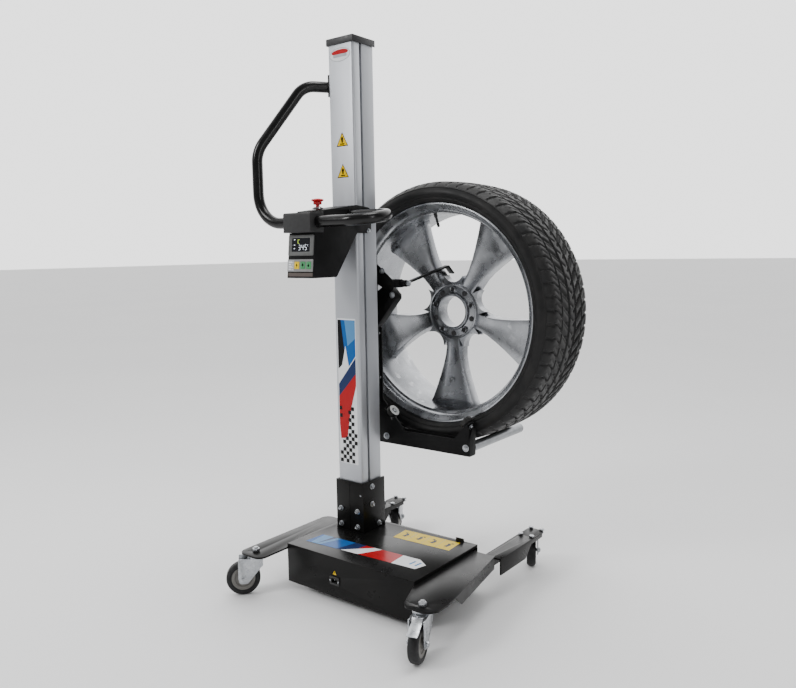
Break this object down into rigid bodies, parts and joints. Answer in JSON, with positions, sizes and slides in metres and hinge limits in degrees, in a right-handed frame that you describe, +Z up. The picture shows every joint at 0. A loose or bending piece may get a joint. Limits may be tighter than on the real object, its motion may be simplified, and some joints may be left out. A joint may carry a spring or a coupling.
{
  "type": "wheel lift trolley",
  "caption": "Mobile electric wheel lifter: castored base with battery box, aluminium mast, powered roller fork carrying a wheel, retaining hook, push handles and control head.",
  "frame": {"origin": "centre of the footprint's bounding box, on the floor", "axes": "+Z up; +X along the base box towards the right-hand arm; +Y from the operator's side towards the wheel"},
  "size_m": [0.76, 0.792, 1.5134],
  "materials": {
    "black_gloss_paint": "gloss",
    "black_satin_steel": "satin",
    "handle_tube": "gloss",
    "anodised_aluminium": "anodised satin",
    "cap_plastic": "matt",
    "machine_steel": "satin",
    "belt_rubber": "matt",
    "battery_case": "matt",
    "module_plastic": "matt",
    "inlet_plastic": "satin",
    "bezel_plastic": "satin",
    "chrome": "polished",
    "red_plastic": "gloss",
    "yellow_key": "satin",
    "green_key": "satin",
    "zinc_plate": "zinc plated",
    "caster_core": "satin",
    "caster_rubber": "matt",
    "guide_rubber": "matt",
    "cast_alloy": "machined and lacquered",
    "tyre_rubber": "matt"
  },
  "bodies": {
    "base": {"left_arm_plate": "black_gloss_paint", "deck_plate": "black_gloss_paint", "right_arm_plate": "black_gloss_paint", "rear_arm_left": "black_gloss_paint", "rear_arm_right": "black_gloss_paint", "battery_tray": "black_gloss_paint", "base_cover": "black_gloss_paint", "power_inlet": "inlet_plastic", "battery_1": "battery_case", "battery_2": "battery_case", "charger_module": "module_plastic", "sleeve_bracket": "black_gloss_paint", "mast": "anodised_aluminium", "mast_cap": "cap_plastic", "lift_belt": "belt_rubber", "gear_motor": "machine_steel", "head_housing": "black_satin_steel", "grip_collar": "black_satin_steel", "display_unit": "bezel_plastic", "keypad_panel": "bezel_plastic", "stop_collar": "chrome", "side_handle": "handle_tube", "grip_loop": "handle_tube", "caster_front_left_mount": "zinc_plate", "caster_front_right_mount": "zinc_plate", "caster_rear_left_mount": "zinc_plate", "caster_rear_right_mount": "zinc_plate"},
    "drive_pulley": {"drive_pulley": "machine_steel"},
    "idler_pulley": {"idler_pulley": "machine_steel"},
    "carriage": {"carriage_slide": "black_satin_steel", "fork_plate": "black_satin_steel", "clamp_bracket": "black_satin_steel", "hook_pin": "zinc_plate"},
    "roller_left": {"roller_left": "machine_steel"},
    "roller_right": {"roller_right": "machine_steel"},
    "guide_roller_left": {"guide_roller_left": "guide_rubber"},
    "guide_roller_right": {"guide_roller_right": "guide_rubber"},
    "retaining_hook": {"retaining_hook": "black_satin_steel"},
    "wheel": {"rim": "cast_alloy", "tyre": "tyre_rubber"},
    "stop_knob": {"stop_knob": "red_plastic"},
    "key_yellow": {"key_yellow": "yellow_key"},
    "key_up": {"key_up": "green_key"},
    "key_down": {"key_down": "green_key"},
    "caster_front_left_swivel": {"caster_front_left_fork": "zinc_plate"},
    "caster_front_left_wheel": {"caster_front_left_hub": "caster_core", "caster_front_left_tread": "caster_rubber"},
    "caster_front_right_swivel": {"caster_front_right_fork": "zinc_plate"},
    "caster_front_right_wheel": {"caster_front_right_hub": "caster_core", "caster_front_right_tread": "caster_rubber"},
    "caster_front_right_brake": {"caster_front_right_brake": "zinc_plate"},
    "caster_rear_left_swivel": {"caster_rear_left_fork": "zinc_plate"},
    "caster_rear_left_wheel": {"caster_rear_left_hub": "caster_core", "caster_rear_left_tread": "caster_rubber"},
    "caster_rear_right_swivel": {"caster_rear_right_fork": "zinc_plate"},
    "caster_rear_right_wheel": {"caster_rear_right_hub": "caster_core", "caster_rear_right_tread": "caster_rubber"}
  },
  "joints": [
    {"name": "carriage_lift", "type": "slide", "parent": "base", "child": "carriage", "axis": [0, 0, 1], "range_m": [-0.322, 0.5]},
    {"name": "drive_pulley_spin", "type": "hinge", "parent": "base", "child": "drive_pulley", "pos_m": [-0.17, -0.00005, 0.07], "axis": [1, 0, 0], "continuous": true},
    {"name": "idler_pulley_spin", "type": "hinge", "parent": "base", "child": "idler_pulley", "pos_m": [-0.17, -0.00005, 1.468], "axis": [1, 0, 0], "continuous": true},
    {"name": "wheel_turn", "type": "hinge", "parent": "carriage", "child": "wheel", "pos_m": [0, 0.24995, 0.75172], "axis": [0, 1, 0], "range_deg": [-30, 0]},
    {"name": "roller_left_spin", "type": "hinge", "parent": "carriage", "child": "roller_left", "pos_m": [-0.14, 0.25395, 0.383], "axis": [0, 1, 0], "continuous": true},
    {"name": "roller_right_spin", "type": "hinge", "parent": "carriage", "child": "roller_right", "pos_m": [0.14, 0.25395, 0.383], "axis": [0, 1, 0], "continuous": true},
    {"name": "guide_roller_left_spin", "type": "hinge", "parent": "carriage", "child": "guide_roller_left", "pos_m": [-0.13, 0.10515, 0.455], "axis": [0.766, 0, 0.6428], "continuous": true},
    {"name": "guide_roller_right_spin", "type": "hinge", "parent": "carriage", "child": "guide_roller_right", "pos_m": [0.13, 0.10515, 0.455], "axis": [-0.766, 0, 0.6428], "continuous": true},
    {"name": "hook_flip", "type": "hinge", "parent": "carriage", "child": "retaining_hook", "pos_m": [-0.082, 0.10595, 0.84], "axis": [1, 0, 0], "range_deg": [0, 80]},
    {"name": "stop_knob_press", "type": "slide", "parent": "base", "child": "stop_knob", "axis": [0, 0, -1], "range_m": [0, 0.004], "stiffness_N_per_m": 1500},
    {"name": "key_yellow_press", "type": "slide", "parent": "base", "child": "key_yellow", "axis": [0, 0.9944, -0.1053], "range_m": [0, 0.001], "stiffness_N_per_m": 600},
    {"name": "key_up_press", "type": "slide", "parent": "base", "child": "key_up", "axis": [0, 0.9944, -0.1053], "range_m": [0, 0.001], "stiffness_N_per_m": 600},
    {"name": "key_down_press", "type": "slide", "parent": "base", "child": "key_down", "axis": [0, 0.9944, -0.1053], "range_m": [0, 0.001], "stiffness_N_per_m": 600},
    {"name": "front_left_swivel", "type": "hinge", "parent": "base", "child": "caster_front_left_swivel", "pos_m": [-0.292, -0.31205, 0.1], "axis": [0, 0, 1], "continuous": true},
    {"name": "front_left_roll", "type": "hinge", "parent": "caster_front_left_swivel", "child": "caster_front_left_wheel", "pos_m": [-0.31723, -0.33911, 0.0465], "axis": [0.7314, -0.682, 0], "continuous": true},
    {"name": "front_right_swivel", "type": "hinge", "parent": "base", "child": "caster_front_right_swivel", "pos_m": [0.273, -0.31205, 0.1], "axis": [0, 0, 1], "continuous": true},
    {"name": "front_right_roll", "type": "hinge", "parent": "caster_front_right_swivel", "child": "caster_front_right_wheel", "pos_m": [0.28443, -0.34724, 0.0465], "axis": [0.9511, 0.309, 0], "continuous": true},
    {"name": "front_right_brake_press", "type": "hinge", "parent": "caster_front_right_swivel", "child": "caster_front_right_brake", "pos_m": [0.28258, -0.34153, 0.1], "axis": [0.9511, 0.309, 0], "range_deg": [0, 3.4]},
    {"name": "rear_left_swivel", "type": "hinge", "parent": "base", "child": "caster_rear_left_swivel", "pos_m": [-0.252, 0.25895, 0.1], "axis": [0, 0, 1], "continuous": true},
    {"name": "rear_left_roll", "type": "hinge", "parent": "caster_rear_left_swivel", "child": "caster_rear_left_wheel", "pos_m": [-0.26937, 0.29162, 0.0465], "axis": [-0.8829, -0.4695, 0], "continuous": true},
    {"name": "rear_right_swivel", "type": "hinge", "parent": "base", "child": "caster_rear_right_swivel", "pos_m": [0.254, 0.25895, 0.1], "axis": [0, 0, 1], "continuous": true},
    {"name": "rear_right_roll", "type": "hinge", "parent": "caster_rear_right_swivel", "child": "caster_rear_right_wheel", "pos_m": [0.23663, 0.29162, 0.0465], "axis": [-0.8829, -0.4695, 0], "continuous": true}
  ],
  "couplings": [
    {"joint": "drive_pulley_spin", "follows": "carriage_lift", "rad_per_m": 54.054},
    {"joint": "idler_pulley_spin", "follows": "carriage_lift", "rad_per_m": 54.054},
    {"joint": "roller_left_spin", "follows": "wheel_turn", "ratio": -27.143},
    {"joint": "roller_right_spin", "follows": "wheel_turn", "ratio": -27.143}
  ]
}
